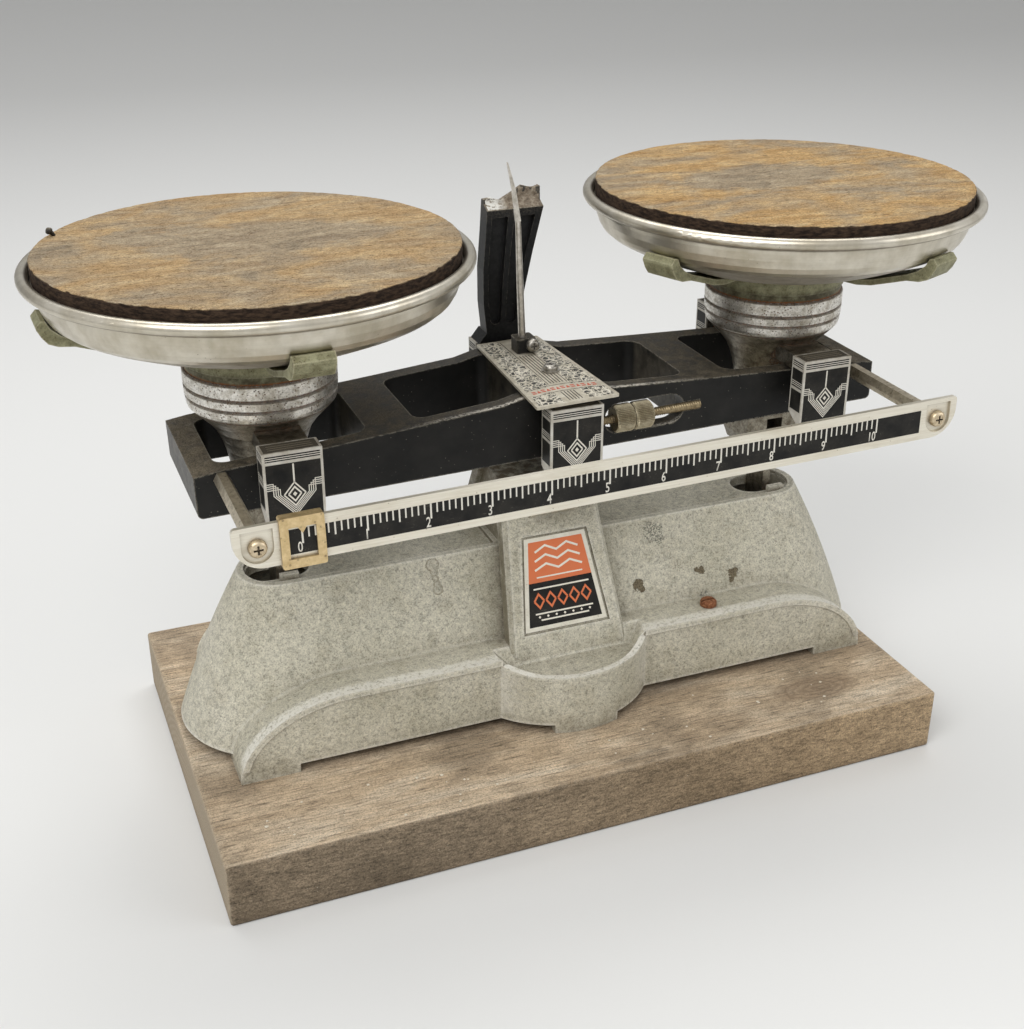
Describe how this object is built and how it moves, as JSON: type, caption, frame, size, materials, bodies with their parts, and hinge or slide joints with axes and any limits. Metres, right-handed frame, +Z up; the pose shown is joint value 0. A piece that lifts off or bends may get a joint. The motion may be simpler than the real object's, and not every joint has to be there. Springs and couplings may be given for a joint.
{
  "type": "trip balance",
  "caption": "Free-standing two-pan trip balance with a tilting ladder beam, graduated front bar with sliding rider, and lift-off pans on a cast base.",
  "frame": {"origin": "on the underside of the board, straight below the centre knife edge", "axes": "+X along the beam to the right-hand pan, +Y to the back, away from the graduated bar, +Z up"},
  "size_m": [0.3586, 0.164, 0.2269],
  "materials": {
    "board_wood": "weathered",
    "base_paint": "hammered",
    "label": "satin",
    "cover_print": "satin",
    "black_paint": "satin",
    "agate": "polished",
    "steel": "brushed",
    "rusty_steel": "rusted",
    "zinc": "pitted",
    "spider_plate": "dull plated",
    "pan_metal": "brushed",
    "disc_wood": "worn",
    "brass": "aged",
    "bar_metal": "satin",
    "rod_steel": "dull"
  },
  "bodies": {
    "base": {"wood_board": "board_wood", "board_screws": "steel", "base_casting": "base_paint", "label_plate": "label", "centre_cover_front": "cover_print", "centre_cover_back": "cover_print", "centre_bearing_front": "agate", "centre_bearing_back": "agate", "dial_post": "black_paint", "base_screw": "rusty_steel", "link_centre_pin": "steel"},
    "beam": {"beam_casting": "black_paint", "centre_knife": "steel", "end_knives_left": "steel", "end_knives_right": "steel", "top_plate": "cover_print", "plate_screw": "steel", "pointer_block": "black_paint", "clamp_screw": "steel", "pointer": "rod_steel", "tare_rod": "brass", "standoff_left": "rod_steel", "standoff_right": "rod_steel", "graduated_bar": "bar_metal", "bar_screws": "brass"},
    "rider": {"rider": "brass"},
    "tare_nut": {"tare_nut": "brass"},
    "tare_lock_nut": {"tare_lock_nut": "brass"},
    "check_link": {"check_link": "steel"},
    "pan_support_left": {"pan_support_left": "zinc", "check_rod_left": "zinc", "pan_bearing_front_left": "agate", "pan_bearing_back_left": "agate", "side_cover_front_left": "cover_print", "side_cover_back_left": "cover_print", "pan_spider_left": "spider_plate", "spider_screw_left": "steel", "link_pin_left": "steel"},
    "pan_left": {"pan_dish_left": "pan_metal"},
    "disc_left": {"wood_disc_left": "disc_wood"},
    "pan_support_right": {"pan_support_right": "zinc", "check_rod_right": "zinc", "pan_bearing_front_right": "agate", "pan_bearing_back_right": "agate", "side_cover_front_right": "cover_print", "side_cover_back_right": "cover_print", "pan_spider_right": "spider_plate", "spider_screw_right": "steel", "link_pin_right": "steel"},
    "pan_right": {"pan_dish_right": "pan_metal"},
    "disc_right": {"wood_disc_right": "disc_wood"}
  },
  "joints": [
    {"name": "beam_tilt", "type": "hinge", "parent": "base", "child": "beam", "pos_m": [0, 0, 0.14], "axis": [0, -1, 0], "range_deg": [-4.4, 2.3]},
    {"name": "check_link_tilt", "type": "hinge", "parent": "base", "child": "check_link", "pos_m": [0, 0, 0.045], "axis": [0, -1, 0], "range_deg": [-4.8, 2.8]},
    {"name": "rider_slide", "type": "slide", "parent": "beam", "child": "rider", "axis": [0.9998, 0, 0.0187], "range_m": [0, 0.209]},
    {"name": "tare_nut_travel", "type": "slide", "parent": "beam", "child": "tare_nut", "axis": [0.9998, 0, 0.0187], "range_m": [0, 0.0105]},
    {"name": "tare_lock_nut_turn", "type": "hinge", "parent": "tare_nut", "child": "tare_lock_nut", "pos_m": [0.03253, -0.0275, 0.13891], "axis": [0.9998, 0, 0.0187], "continuous": true},
    {"name": "pan_support_left_level", "type": "hinge", "parent": "beam", "child": "pan_support_left", "pos_m": [-0.10308, 0, 0.13808], "axis": [0, -1, 0], "range_deg": [-2.8, 4.8]},
    {"name": "pan_left_lift_off", "type": "slide", "parent": "pan_support_left", "child": "pan_left", "axis": [0, 0, 1], "range_m": [0, 0.06]},
    {"name": "disc_left_lift_off", "type": "slide", "parent": "pan_left", "child": "disc_left", "axis": [0, 0, 1], "range_m": [0, 0.03]},
    {"name": "pan_support_right_level", "type": "hinge", "parent": "beam", "child": "pan_support_right", "pos_m": [0.10308, 0, 0.14192], "axis": [0, -1, 0], "range_deg": [-2.8, 4.8]},
    {"name": "pan_right_lift_off", "type": "slide", "parent": "pan_support_right", "child": "pan_right", "axis": [0, 0, 1], "range_m": [0, 0.06]},
    {"name": "disc_right_lift_off", "type": "slide", "parent": "pan_right", "child": "disc_right", "axis": [0, 0, 1], "range_m": [0, 0.03]}
  ],
  "couplings": [
    {"joint": "pan_support_left_level", "follows": "beam_tilt", "ratio": -1},
    {"joint": "pan_support_right_level", "follows": "beam_tilt", "ratio": -1},
    {"joint": "check_link_tilt", "follows": "beam_tilt", "ratio": 1}
  ]
}
